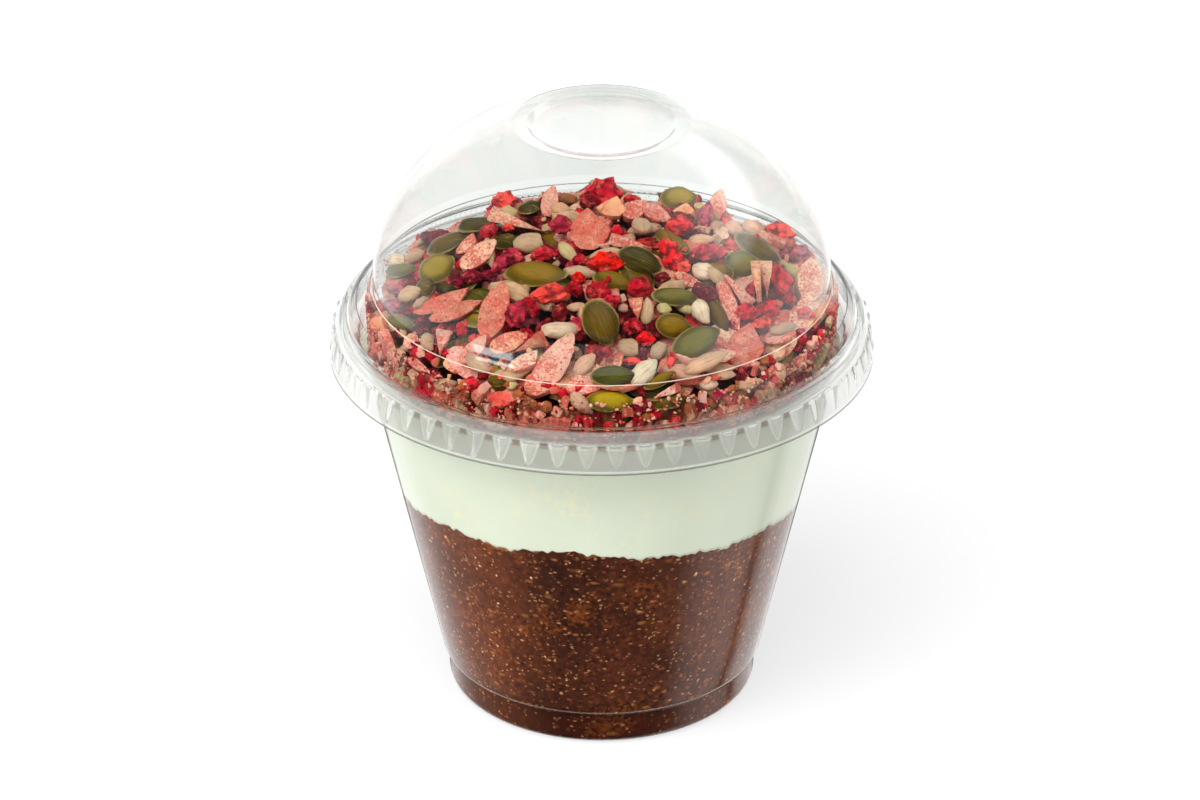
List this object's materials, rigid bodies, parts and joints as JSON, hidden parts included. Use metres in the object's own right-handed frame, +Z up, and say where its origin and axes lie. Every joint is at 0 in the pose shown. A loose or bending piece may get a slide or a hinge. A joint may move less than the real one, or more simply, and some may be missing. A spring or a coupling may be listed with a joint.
{
  "type": "chia pudding",
  "caption": "Layered chia pudding in a shut clear plastic cup: dark speckled pudding, pale cream, and a heap of seeds, flakes and berry bits under a clear dome lid.",
  "frame": {"origin": "centre of the cup's flat base, on the surface that the cup stands on", "axes": "+Z up along the cup's axis, -Y towards the viewer of the picture, +X to that viewer's right"},
  "size_m": [0.1, 0.1, 0.1133],
  "materials": {
    "clear_plastic_cup": "clear smooth plastic",
    "clear_plastic_lid": "clear smooth plastic",
    "chia_pudding": "moist, full of pale specks",
    "cream": "smooth, moist",
    "seed_mix": "dry seeds, flakes and dried berry bits"
  },
  "bodies": {
    "root": {"cup": "clear_plastic_cup", "lid": "clear_plastic_lid", "chia_pudding": "chia_pudding", "cream_layer": "cream", "seed_topping": "seed_mix"}
  },
  "joints": []
}
